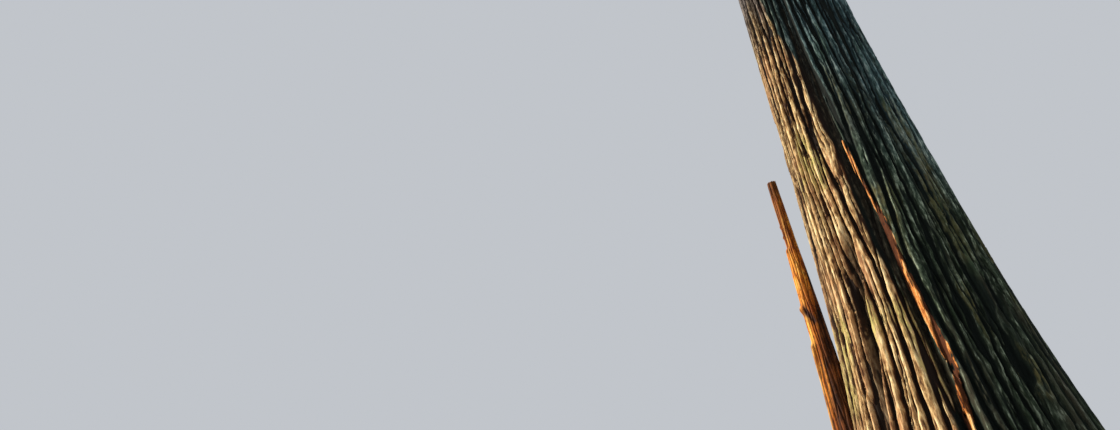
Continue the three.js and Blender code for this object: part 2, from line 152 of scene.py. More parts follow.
# The cleft in the first flute and the groove in the second: half widths and waver in degrees, the
# share that is flat and the heights where each ends.
CLEFT_HALF = [(2.4, 2.6), (3.4, 4.8)]
CLEFT = (1.4, 0.6, 7.5, 5.9)
GROOVE_HALF = 5.4
GROOVE = (2.2, 0.5, 3.7, 3.0)
CLEFT_DEPTH = 0.035
CLEFT_CALM = 0.3
GROOVE_SHARE = 1.5

# The strip of bare inner bark along the cleft's right edge, orange of its own and brightened as painted
# sunlight: its line as heights and facings, its half width in degrees, its ragged sides and its ends.
EMBER_LINE = [(0.7, 0.5), (1.39, 1.9), (1.62, 4.0), (1.86, 6.6), (1.98, 5.0), (2.42, 3.4), (2.88, 2.0),
              (3.35, 2.0), (3.75, 0.1), (4.33, -2.2), (4.6, -3.2)]
EMBER_HALF = [(1.4, 1.6), (1.9, 2.0), (2.9, 1.8), (3.6, 1.5), (4.6, 1.0)]
EMBER_SIDE = (0.85, 1.2)
EMBER_WAVER = 1.2
EMBER_RAGGED = 2.0
EMBER_ENDS = [(4.6, 4.4), (0.7, 1.05)]
EMBER_STAND = 0.028
EMBER_CALM = 0.3
EMBER_THREADS = 0.02

# How light the ridges are: a line between strands, a ridge, what plates, strands and chips add, and
# what the far left and the foot of the shaded side lose as painted shade.
STRAND_LINE_TONE = 0.12
RIDGE_TONES = (0.51, 0.2, 0.34, 0.3)
FAR_LEFT = [(-48, -70), (-150, -120)]
FOOT_SHADE_SIDE = [(6, 28), (150, 110)]
FOOT_SHADE_HEIGHTS = (3.6, 1.6)
DARKER = (0.27, 0.26)

# Where the tan of the lit side ends, as heights and facings: the tan is painted sunlight and the bark
# beyond it painted shade. How far sway, waver, plates and strands carry that edge, and where the tan
# ends at the back.
TAN_EDGE = [(0.0, -3.0), (1.44, -2.6), (1.67, -0.8), (1.95, -1.5), (2.21, -3.3), (2.65, -4.4),
            (3.06, -9.2), (3.82, -11.1), (4.32, -10.2), (4.88, -11.2), (5.36, -11.4), (6.35, -19.8),
            (7.4, -32.0), (9.5, -52.0)]
TAN_SOFT = 0.9
TAN_RAGGED = (3.2, 2.4, 2.8, 2.0)
TAN_BACK = (-150, -118)
TAN_BACK_SWAY = 8
TAN_LAST = 90

# Where the tan fades into painted shade, the grey-brown painted shade above it, and the brown above the
# photograph and at the back.
WARM_HEIGHTS = (5.9, 8.2)
WARM_LOSS = 0.75
WARM_SWAY = 1.2
# The far left loses some of its painted sunlight, a painted shade.
FAR_LEFT_LOSS = 0.2
UPPER_SHADE = 0.9
UPPER_SHADE_HEIGHTS = (6.3, 8.0)
UPPER_SHADE_END = (11, 8.5)
UPPER_SHADE_RAGGED = (1.6, 0.8)
BROWN_HEIGHTS = (8.5, 14)
BROWN_SIDES = (100, 135)
BROWN_FRONT = -10
BROWN_WARMTH = (0.3, 0.25)

# Lichen on the lit bark, and the slate of the upper shaded side, a painted blue tint of sky light in
# its shade. A spot is a height and a spread in metres, a facing and a spread in degrees.
LICHEN_COVER = (0.6, 0.92)
LICHEN_SPOT = (4.5, 0.55, -37, 15)
LICHEN_SPOT_SHARE = 0.5
LICHEN_SHADE = 0.14
LICHEN_END = (6.6, 5.1)
SLATE_HEIGHTS = (3.0, 6.4)
SLATE_SIDE = [(-40, 5), (150, 100)]
SLATE_END = (12.3, 8.3)
SLATE_SWAY = 1.5

# The dead stem, as in the solids.
SPAR_HEIGHT = 5.02
SPAR_FOOT = (-1.035, 0.45)
SPAR_LEAN = 0.16
SPAR_LEAN_POWER = 1.4
SPAR_RADII = (0.16, 0.064)
SPAR_FLARE = 0.19
SPAR_FLARE_HEIGHT = 0.38
SPAR_BREAK = 0.15
SPAR_COLUMNS = 160
SPAR_RINGS = 300
SPAR_CAP_MARKS = [0.5, 0.2]

# How many of its strands go round and how long one is, and its top's splinters: how many go round,
# how far they stand up and the number of their draws.
SPAR_STRANDS = (14, 0.6)
SPLINTERS = [(13, 0.35, 21), (31, 0.25, 22)]

# Spots on it, as for the lichen: the broken stub and two small ones, the knot, the hole and its rim.
STUB = (2.99, 0.05, -72, 26)
SMALL_STUBS = [(4.03, 0.022, -80, 16), (4.19, 0.022, -80, 16)]
KNOT = (2.9, 0.09, -14, 40)
HOLE = (2.88, 0.06, -18, 32)
HOLE_RIM = (2.9, 0.09, -16, 48)

# How far each mark stands out from it or, below 0, sinks in.
SPAR_STANDS = {"knot": 0.012, "hole": -0.035, "stub": 0.03, "chip": -0.024, "rind": 0.022,
               "split": -0.02, "slab": 0.035}

# Its left side, how far to the right it is golden, as painted sunlight with painted shade beyond, at
# some heights, and its top, golden at the right as a painted highlight.
SPAR_LEFT = [(10, -40), (-170, -130)]
GOLD_EDGE = [(1.2, -40.0), (1.7, -38.0), (2.06, -28.0), (2.63, 0), (3.0, 36.0), (3.4, 66.0),
             (3.76, 84.0)]
GOLD_BACK = (-165, -145)
GOLD_TOP = (3.8, 4.1)
GOLD_TOP_SIDE = [(15, 45), (120, 90)]

# The crown, as in the solids.
CROWN_LOW = 13.2
CROWN_HIGH = 38.5
CROWN_LIMBS = 35
CROWDING = 1.22
CROWN_REACH = 4.0
CROWN_FOOT_REACH = 0.66
CROWN_FOOT_UNTIL = 0.28
CROWN_TAPER_FROM = 0.25
CROWN_TAPER_LOSS = 0.78
CROWN_TAPER_POWER = 1.6
GOLDEN_ANGLE = math.radians(137.508)
FIRST_ANGLE = 0.6
BOUGH_LIMBS = 13
LOW_SPRAYS = [(10.05, 118), (11.2, -62), (11.9, 205), (12.6, 20)]
LOW_SPRAY_REACH = 0.95
LOW_SPRAY_LIFTS = (-0.1, 0.32)
SEED = 1931
LIMB_START = 0.6
LIMB_SWEEP = 0.28
LIMB_RISE = (0.06, 0.75)
LIMB_RISE_SPREAD = 0.1
LIMB_DROOP = (0.3, 0.12)
LIMB_HEIGHT_SPREAD = 0.15
LIMB_ANGLE_SPREAD = 0.2
LIMB_REACH = (0.82, 1.08)
BOUGH_SHARE = (0.36, 0.48)
LIMB_SAMPLES = 9
LIMB_THICKNESS = 0.034
LIMB_LEAST = 0.034
COLLAR = 1.35
COLLAR_SHARE = 0.22
STEM_END_RADIUS = 0.02
TWIGS = 5
FIRST_TWIG = (0.1, 0.3)
LAST_TWIG = 0.93
TWIG_AIM = (0.75, (0.85, 1.2))
TWIG_SHARE = 0.4
TWIG_SHORTENING = (1.1, 0.55)
TWIG_LENGTHS = (0.85, 1.15)
TWIG_SAG = 0.1
TWIG_FOOT = 0.62
TWIG_END_RADIUS = 0.011
BLADE_DRAWS = 7
LEADER_HEIGHT = 0.74
LEADER_REACH = 0.9
LEADER_ROOM = (0.03, 0.99)
GAP = 0.0003
OWN_SPACE = 0.035
REACH_SLACK = 1.16
TOP_ROOM = 0.9
TRUNK_CLEAR = 0.06

# Meshes of the wood, as rings, sides and how lumpy they are.
BOUGH_MESH = (26, 20, 0.13)
STEM_MESH = (14, 8, 0.1)
TWIG_MESH = (5, 4)

# Finer growth that the solids leave out.
FINE_TWIGS = 22
FINE_TRIES = (1.0, 0.78, 0.6, 0.42)
FINE_AIM = (1.1, (0.7, 1.2))
FINE_LENGTHS = (0.7, 1.25)
FINE_FOOT = 0.45
FINE_SAG = 0.16
SHOOT_STEP = 0.085
SHOOT_LENGTH = 0.5
SHOOT_LENGTHS = (0.7, 1.15)
SHOOT_SHORTENING = 0.4
SHOOT_RADIUS = 0.0035
SHOOT_AHEAD = 0.72
SHOOT_ASIDE = (0.6, 0.95)
SHOOT_SAG = 0.3
SHOOT_SPREAD = 0.22
TIP_SHOOTS = (0.6, 0.7)
SHOOT_TRY = 0.72
FULL_LIMB = 2.0
SMALLEST_SPRAYS = 0.55

# The sprays on a shoot: their places on it, and how far they point along it and aside from it.
FRONDS = [(0.55, 1, 0), (0.36, 0.7, 0.75), (0.6, 0.7, -0.75), (0.82, 0.8, 0.6)]
FROND_LENGTH = 0.36
FROND_LENGTHS = (0.72, 1.12)
FROND_SAG = -0.12
FROND_SPREAD = 0.1
FROND_TILT = 0.55
FROND_INSIDE = 0.8
NEEDLES_A_SIDE = 10
NEEDLE_REACH = 0.27
NEEDLE_WIDTH = 0.092
NEEDLE_SLANT = (42, 58)
SPINE_WIDTH = 0.028
SPRAY_SAG = 0.03
TEMPLATES = 4
COLOUR_SPREAD = 0.35

# The needle sprays' colours, and how much of the crown each takes; the lighter ones, further out, are
# partly painted sunlight and the darker ones, further in, partly painted shade.
NEEDLE_COLOURS = {
    "needles_old": ((0.12, 0.09, 0.026), 0.08),
    "needles_deep": ((0.018, 0.052, 0.014), 0.22),
    "needles_shaded": ((0.03, 0.074, 0.016), 0.2),
    "needles_mid": ((0.046, 0.104, 0.019), 0.2),
    "needles_fresh": ((0.084, 0.16, 0.022), 0.18),
    "needles_sunlit": ((0.19, 0.235, 0.026), 0.12),
}


# The solids' own random numbers.
def seeded(seed):
    state = seed & 0xFFFFFFFF

    def draw():
        nonlocal state
        state = (state + 0x6D2B79F5) & 0xFFFFFFFF
        mixed = ((state ^ (state >> 15)) * (state | 1)) & 0xFFFFFFFF
        mixed = ((mixed + (((mixed ^ (mixed >> 7)) * (mixed | 61)) & 0xFFFFFFFF)) & 0xFFFFFFFF) ^ mixed
        return (mixed ^ (mixed >> 14)) / 4294967296

    return draw


def lerp(low, high, share):
    return low + (high - low) * share


def blend(shares, *values):
    return sum(share * value for share, value in zip(shares, values))


def smooth(low, high, value):
    """From 0 at low to 1 at high, level at both."""
    share = np.clip((value - low) / (high - low), 0, 1)
    return share * share * (3 - 2 * share)


def at_height(heights_and_values, height):
    heights, values = zip(*heights_and_values)
    return np.interp(height, heights, values)


def zone(edges, value):
    """1 within a zone and 0 outside it, with soft edges."""
    inside = 1
    for low, high in edges:
        inside = inside * smooth(low, high, value)
    return inside


def between(sides, share):
    return [lerp(low, high, share) for low, high in zip(*sides)]


def unit(vectors):
    return vectors / np.maximum(np.linalg.norm(vectors, axis=-1, keepdims=True), 1e-9)


def draws_of(number):
    return np.random.default_rng(SEED + number)


# Patterns over a net that closes on itself after so many columns.
def soft_noise(across, up, columns, number):
    """Smooth random numbers from 0 to 1."""
    rows = int(np.ceil(up.max())) + 2
    net = draws_of(number).random((rows, columns))
    row = np.floor(up).astype(int)
    column = np.floor(across).astype(int)
    u = smooth(0, 1, across - column)
    v = smooth(0, 1, up - row)
    here, there = column % columns, (column + 1) % columns
    low = net[row, here] * (1 - u) + net[row, there] * u
    high = net[row + 1, here] * (1 - u) + net[row + 1, there] * u
    return low * (1 - v) + high * v


def cells(across, up, columns, number):
    """How far each point is from its long upright cell's side, and the cell's number."""
    rows = int(np.ceil(up.max())) + 4
    draws = draws_of(number)
    jitter = CELL_MARGIN + (1 - 2 * CELL_MARGIN) * draws.random((rows, columns, 2))
    tones = draws.random((rows, columns))
    row = np.floor(up).astype(int) + 1
    column = np.floor(across).astype(int)
    near = np.full(across.shape, np.inf)
    near_x, near_y, tone = np.zeros_like(near), np.zeros_like(near), np.zeros_like(near)
    places = []
    for down in (-1, 0, 1):
        for beside in (-1, 0, 1):
            place = (row + down, (column + beside) % columns)
            x = column + beside + jitter[place][..., 0] - across
            y = row + down - 1 + jitter[place][..., 1] - up
            places.append((x, y))
            distance = x * x + y * y
            nearer = distance < near
            near = np.where(nearer, distance, near)
            near_x, near_y = np.where(nearer, x, near_x), np.where(nearer, y, near_y)
            tone = np.where(nearer, tones[place], tone)
    border = np.full(across.shape, np.inf)
    for x, y in places:
        aside, above = x - near_x, y - near_y
        apart = np.hypot(aside, CELL_SHAPE * above)
        half = ((x + near_x) * aside + (y + near_y) * above) / (2 * np.maximum(apart, 1e-6))
        slant = np.abs(aside) / np.maximum(np.abs(above), 1e-6)
        half = half + CELL_MERGE * (1 - smooth(*CELL_MERGE_SLANTS, slant))
        border = np.minimum(border, np.where(apart > 1e-4, half, np.inf))
    return border, tone


# Meshes.
def add_object(name, data):
    piece = bpy.data.objects.new(name, data)
    bpy.context.scene.collection.objects.link(piece)
    return piece


def add_mesh(name, points, faces, material, smooth_faces=True):
    mesh = bpy.data.meshes.new(name)
    faces = np.asarray(faces, np.int32)
    mesh.vertices.add(len(points))
    mesh.vertices.foreach_set("co", np.asarray(points, np.float32).ravel())
    mesh.loops.add(faces.size)
    mesh.loops.foreach_set("vertex_index", faces.ravel())
    mesh.polygons.add(len(faces))
    mesh.polygons.foreach_set("loop_start", np.arange(0, faces.size, faces.shape[1], dtype=np.int32))
    mesh.polygons.foreach_set("use_smooth", np.full(len(faces), smooth_faces))
    mesh.update(calc_edges=True)
    mesh.materials.append(material)
    return add_object(name, mesh)


def give(piece, name, values):
    """A number for each point, for the material."""
    attribute = piece.data.attributes.new(name, "FLOAT", "POINT")
    attribute.data.foreach_set("value", np.asarray(values, np.float32).ravel())


def ring_faces(rings, columns):
    """A tube's outward triangles."""
    ring, column = np.meshgrid(np.arange(rings - 1), np.arange(columns), indexing="ij")
    a = (ring * columns + column).ravel()
    b = (ring * columns + (column + 1) % columns).ravel()
    return np.concatenate([np.stack([a, b, b + columns], 1), np.stack([a, b + columns, a + columns], 1)])


def cap_faces(first, columns, middle, up):
    """A fan that closes a ring whose points start at first."""
    a = first + np.arange(columns)
    b = first + (np.arange(columns) + 1) % columns
    centre = np.full(columns, middle)
    return np.stack([centre, a, b] if up else [centre, b, a], 1)


def grid_normals(points):
    """The normals of a tube's points, given as rings and columns."""
    around = np.roll(points, -1, axis=1) - np.roll(points, 1, axis=1)
    upward = np.gradient(points, axis=0)
    return unit(np.cross(around, upward))


def joined(shapes):
    """The points and faces of many shapes as one."""
    starts = np.cumsum([0] + [len(points) for points, faces in shapes])
    return (np.concatenate([points for points, faces in shapes]),
            np.concatenate([faces + start for (points, faces), start in zip(shapes, starts)]))


def tube(path, radii, sides, bumps=None):
    """A closed round limb along a path. bumps are shares of its radius."""
    along = unit(np.gradient(path, axis=0))
    guess = np.array([0.0, 0.0, 1.0]) if abs(along[:, 2]).max() < 0.95 else np.array([1.0, 0.0, 0.0])
    side = unit(np.cross(guess, along))
    lift = np.cross(along, side)
    angle = np.linspace(0, 2 * math.pi, sides, endpoint=False)
    radius = np.asarray(radii)[:, None] * (1 if bumps is None else bumps)
    ring = (side[:, None] * (np.cos(angle)[:, None] * radius[..., None])
            + lift[:, None] * (np.sin(angle)[:, None] * radius[..., None])) + path[:, None]
    rings = len(path)
    points = np.concatenate([ring.reshape(-1, 3), path[:1], path[-1:]])
    faces = np.concatenate([ring_faces(rings, sides), cap_faces(0, sides, rings * sides, False),
                            cap_faces((rings - 1) * sides, sides, rings * sides + 1, True)])
    return points, faces


# Materials. The colour sockets of a Mix node, by their numbers.
MIX_FIRST = 6
MIX_SECOND = 7
MIX_RESULT = 2


class Paint:
    """A material's nodes, added one by one."""

    def __init__(self, name, roughness, specular=0.3):
        self.material = bpy.data.materials.new(name)
        self.material.use_nodes = True
        self.tree = self.material.node_tree
        self.shader = self.tree.nodes["Principled BSDF"]
        self.link(roughness, self.shader.inputs["Roughness"])
        self.link(specular, self.shader.inputs["Specular IOR Level"])
        self.place = self.node("TexCoord").outputs["Object"]

    def link(self, source, target):
        if hasattr(source, "is_output"):
            self.tree.links.new(source, target)
        else:
            target.default_value = (*source, 1.0) if isinstance(source, tuple) else source

    def node(self, kind, **inputs):
        node = self.tree.nodes.new("ShaderNode" + kind)
        for name, source in inputs.items():
            self.link(source, node.inputs[name])
        return node

    def mark(self, name):
        node = self.node("Attribute")
        node.attribute_name = name
        return node.outputs["Fac"]

    def noise(self, scale, detail=4.0, rough=0.6):
        """Noise, its scale in repeats a metre along X, Y and Z."""
        mapping = self.node("Mapping", Vector=self.place)
        mapping.inputs["Scale"].default_value = scale
        vector = mapping.outputs["Vector"]
        node = self.node("TexNoise", Vector=vector, Scale=1.0, Detail=detail, Roughness=rough)
        return node.outputs["Fac"]

    def ramp(self, value, *stops):
        """Numbers or colours along a value, from stops."""
        node = self.node("ValToRGB", Fac=value)
        elements = node.color_ramp.elements
        while len(elements) < len(stops):
            elements.new(0.5)
        for element, (place, colour) in zip(elements, stops):
            element.position = place
            element.color = (*colour, 1) if isinstance(colour, tuple) else (colour, colour, colour, 1)
        return node.outputs["Color"]

    def mix(self, share, first, second):
        node = self.node("Mix", Factor=share)
        node.data_type = "RGBA"
        self.link(first, node.inputs[MIX_FIRST])
        self.link(second, node.inputs[MIX_SECOND])
        return node.outputs[MIX_RESULT]

    def times(self, first, second, plus=0.0):
        node = self.node("Math")
        node.operation = "MULTIPLY_ADD"
        for socket, value in zip(node.inputs, (first, second, plus)):
            self.link(value, socket)
        return node.outputs[0]

    def total(self, *shares_and_values):
        """The sum of some values, each times its share."""
        total = 0.0
        for share, value in shares_and_values:
            total = self.times(value, share, total)
        return total

    def colour(self, source):
        self.link(source, self.shader.inputs["Base Color"])

    def bump(self, height, strength, distance):
        node = self.node("Bump", Strength=strength, Distance=distance, Height=height)
        self.link(node.outputs["Normal"], self.shader.inputs["Normal"])


def bark_material():
    """Furrows painted dark as their shade, ridges tan in painted sunlight on the lit side and grey-green
    in painted shade elsewhere, and bare orange inner bark, brightened as painted sunlight.
    """
    paint = Paint("redwood_bark", 0.92, 0.2)
    relief = paint.mark("relief")
    painted_sun_and_brown = paint.mark("painted_sun_and_brown")
    chips = paint.noise((34, 34, 10))
    wide, fine = paint.noise((17, 17, 1.3)), paint.noise((31, 31, 2.8))
    fibre = paint.total((0.24, wide), (0.32, fine), (0.44, chips))
    patch = paint.noise((2.6, 2.6, 0.9))
    # The lit side's tan: painted sunlight.
    tan = paint.ramp(fibre, (0.41, (0.09, 0.039, 0.015)), (0.46, (0.33, 0.19, 0.076)),
                     (0.51, (0.6, 0.402, 0.18)), (0.57, (0.9, 0.705, 0.38)))
    rosy = paint.mix(paint.ramp(patch, (0.48, 0), (0.62, 0.45)), tan, (0.56, 0.27, 0.13))
    # The shaded side's grey-green: painted shade.
    shaded_grey = paint.ramp(fibre, (0.42, (0.003, 0.008, 0.004)), (0.48, (0.016, 0.028, 0.015)),
                      (0.54, (0.064, 0.088, 0.058)), (0.59, (0.27, 0.33, 0.245)))
    brown = paint.mix(paint.ramp(patch, (0.48, 0), (0.62, 0.6)), shaded_grey, (0.054, 0.043, 0.029))
    # The slate: painted sky light on the upper shaded side.
    sky_tint = paint.ramp(fibre, (0.42, (0.007, 0.021, 0.026)), (0.48, (0.036, 0.082, 0.094)),
                       (0.54, (0.118, 0.196, 0.212)), (0.59, (0.28, 0.37, 0.38)))
    painted_sky_tint = paint.mark("painted_sky_tint")
    cool = paint.mix(paint.times(painted_sky_tint, 0.85), brown, sky_tint)
    mossy = paint.ramp(paint.noise((5.0, 5.0, 1.4)), (0.5, 0), (0.68, 0.5))
    moss = paint.mix(mossy, cool, (0.04, 0.068, 0.036))
    # Low relief is painted darker: painted shade in furrows and on low plates.
    moss = paint.mix(paint.ramp(relief, (0.45, 0.6), (0.8, 0)), moss, (0.008, 0.012, 0.007))
    rosy = paint.mix(paint.ramp(relief, (0.45, 0.5), (0.8, 0)), rosy, (0.19, 0.095, 0.04))
    tops = paint.mix(painted_sun_and_brown, moss, rosy)
    # Grey-brown painted shade over the upper lit side.
    upper_shade_grey = paint.ramp(fibre, (0.41, (0.012, 0.01, 0.012)), (0.46, (0.058, 0.048, 0.05)),
                      (0.51, (0.138, 0.118, 0.116)), (0.57, (0.29, 0.25, 0.23)))
    tops = paint.mix(paint.mark("painted_upper_shade"), tops, upper_shade_grey)
    spots = paint.ramp(paint.noise((30, 30, 7), 5, 0.65), (0.4, 0), (0.56, 1.0))
    lichen = paint.times(paint.mark("lichen"), spots)
    tops = paint.mix(lichen, tops, (0.52, 0.44, 0.15))
    # Furrow walls and depths, painted dark as their shade; on the shaded side their flanks take the
    # painted sky tint.
    shaded = paint.mix(painted_sky_tint, (0.008, 0.014, 0.01), (0.022, 0.046, 0.056))
    flanks = paint.mix(painted_sun_and_brown, shaded, (0.066, 0.026, 0.011))
    depths = paint.mix(painted_sun_and_brown, (0.002, 0.005, 0.004), (0.01, 0.005, 0.003))
    furrow_shade = paint.mix(paint.ramp(relief, (0.04, 0), (0.26, 1.0)), depths, flanks)
    on_top = paint.ramp(paint.total((0.5, relief), (0.6, fibre)), (0.43, 0), (0.54, 1.0))
    bark = paint.mix(on_top, furrow_shade, tops)
    # Painted shadow in the cleft and the groove.
    painted_cleft_shadow = paint.times(paint.mark("painted_cleft_shadow"), 0.82)
    cleft_shadow_tones = paint.ramp(fibre, (0.43, (0.01, 0.008, 0.006)), (0.49, (0.024, 0.019, 0.013)),
                         (0.54, (0.046, 0.037, 0.025)), (0.59, (0.105, 0.086, 0.056)))
    bark = paint.mix(painted_cleft_shadow, bark, cleft_shadow_tones)
    # Inner bark: its own orange, brightened as painted sunlight, and painted darker where it sinks.
    ember = paint.ramp(fibre, (0.44, (0.06, 0.018, 0.006)), (0.475, (0.33, 0.1, 0.022)),
                       (0.53, (0.7, 0.28, 0.07)), (0.59, (0.88, 0.54, 0.23)))
    ember = paint.mix(paint.ramp(relief, (0.1, 1.0), (0.45, 0)), ember, (0.08, 0.024, 0.008))
    breaks = paint.times(chips, 4.0, -1.0)
    edge = paint.ramp(paint.times(paint.mark("ember"), breaks), (0.42, 0), (0.62, 1.0))
    paint.colour(paint.mix(edge, bark, ember))
    paint.bump(fibre, 1.0, 0.05)
    return paint.material


def dead_wood_material():
    """Golden orange in painted sunlight where it faces left, dark red-brown in painted shade where it
    faces right.
    """
    paint = Paint("dead_heartwood", 0.78, 0.2)
    mottle = paint.total((0.6, paint.noise((14, 14, 1.6), 3)), (0.4, paint.noise((13, 13, 6), 3)))
    patch = paint.noise((9, 9, 3.0))
    # Gold for the painted sunlight, dark red-brown for the painted shade.
    painted_sun_gold = paint.ramp(mottle, (0.41, (0.24, 0.056, 0.007)), (0.47, (0.53, 0.16, 0.015)),
                      (0.53, (0.69, 0.25, 0.027)), (0.6, (0.84, 0.43, 0.08)))
    brown = paint.ramp(mottle, (0.41, (0.012, 0.005, 0.002)), (0.48, (0.04, 0.012, 0.004)),
                       (0.54, (0.088, 0.028, 0.007)), (0.61, (0.185, 0.07, 0.022)))
    wood = paint.mix(paint.mark("painted_sun_gold"), brown, painted_sun_gold)
    wood = paint.mix(paint.ramp(patch, (0.5, 0), (0.62, 0.5)), wood, (0.33, 0.092, 0.016))
    pits = paint.ramp(paint.noise((44, 44, 17), 2, 0.5), (0.57, 0), (0.66, 0.7))
    wood = paint.mix(pits, wood, (0.11, 0.032, 0.007))
    rind = paint.ramp(mottle, (0.42, (0.05, 0.022, 0.01)), (0.5, (0.26, 0.12, 0.04)),
                      (0.58, (0.68, 0.39, 0.11)))
    wood = paint.mix(paint.times(paint.mark("rind"), 0.7), wood, rind)
    # Near black in cracks and recesses: partly dark cracks, partly painted shade.
    paint.colour(paint.mix(paint.mark("cracks_and_shade"), wood, (0.036, 0.011, 0.005)))
    paint.bump(mottle, 0.5, 0.03)
    return paint.material


def bough_material():
    paint = Paint("bough_bark", 0.9, 0.2)
    fibre = paint.noise((40, 40, 40), 6, 0.62)
    tone = paint.ramp(fibre, (0.32, (0.03, 0.02, 0.014)), (0.52, (0.105, 0.072, 0.05)),
                      (0.74, (0.21, 0.16, 0.12)))
    moss = paint.ramp(paint.noise((3, 3, 3), 3), (0.5, 0), (0.66, 0.6))
    paint.colour(paint.mix(moss, tone, (0.06, 0.085, 0.03)))
    paint.bump(fibre, 0.7, 0.01)
    return paint.material


def plain_material(name, colour, roughness, specular=0.3):
    paint = Paint(name, roughness, specular)
    paint.colour(colour)
    return paint.material


# The trunk's shape.
def lean_at(height):
    return -LEAN * (1 - np.exp(-np.asarray(height) / LEAN_HEIGHT))


def facing_of(angle):
    """An angle about +Z from +X, in degrees to the right of the viewer's side."""
    return (np.degrees(angle) + 90 + 180) % 360 - 180


def away_from(facing, middle):
    return (facing - middle + 180) % 360 - 180


def swell(facing, middle, half):
    share = np.minimum(np.abs(away_from(facing, middle)) / half, 1)
    return 0.5 * (1 + np.cos(math.pi * share))


def flute_facing(flute, height):
    return flute[0] + flute[1] * np.minimum(height, DRIFT_HEIGHT)


def trunk_radius(angle, height):
    facing = facing_of(angle)
    radius = SHAFT_RADIUS * (1 - height / TAPER_HEIGHT) ** TAPER_POWER
    radius = radius + FLARE * np.exp(-height / FLARE_HEIGHT)
    for middle, half, out in ROOTS:
        radius = radius + out * swell(facing, middle, half) * np.exp(-height / ROOT_HEIGHT)
    for flute in FLUTES:
        fade = np.clip(FLUTE_FADE * (1 - height / flute[4]), 0, 1)
        radius = radius - flute[3] * fade * swell(facing, flute_facing(flute, height), flute[2])
    return radius


def spot(place, height, facing):
    """1 at a spot, falling off softly around it."""
    middle, tall, side, wide = place
    return np.exp(-((height - middle) / tall) ** 2 - (away_from(facing, side) / wide) ** 2)


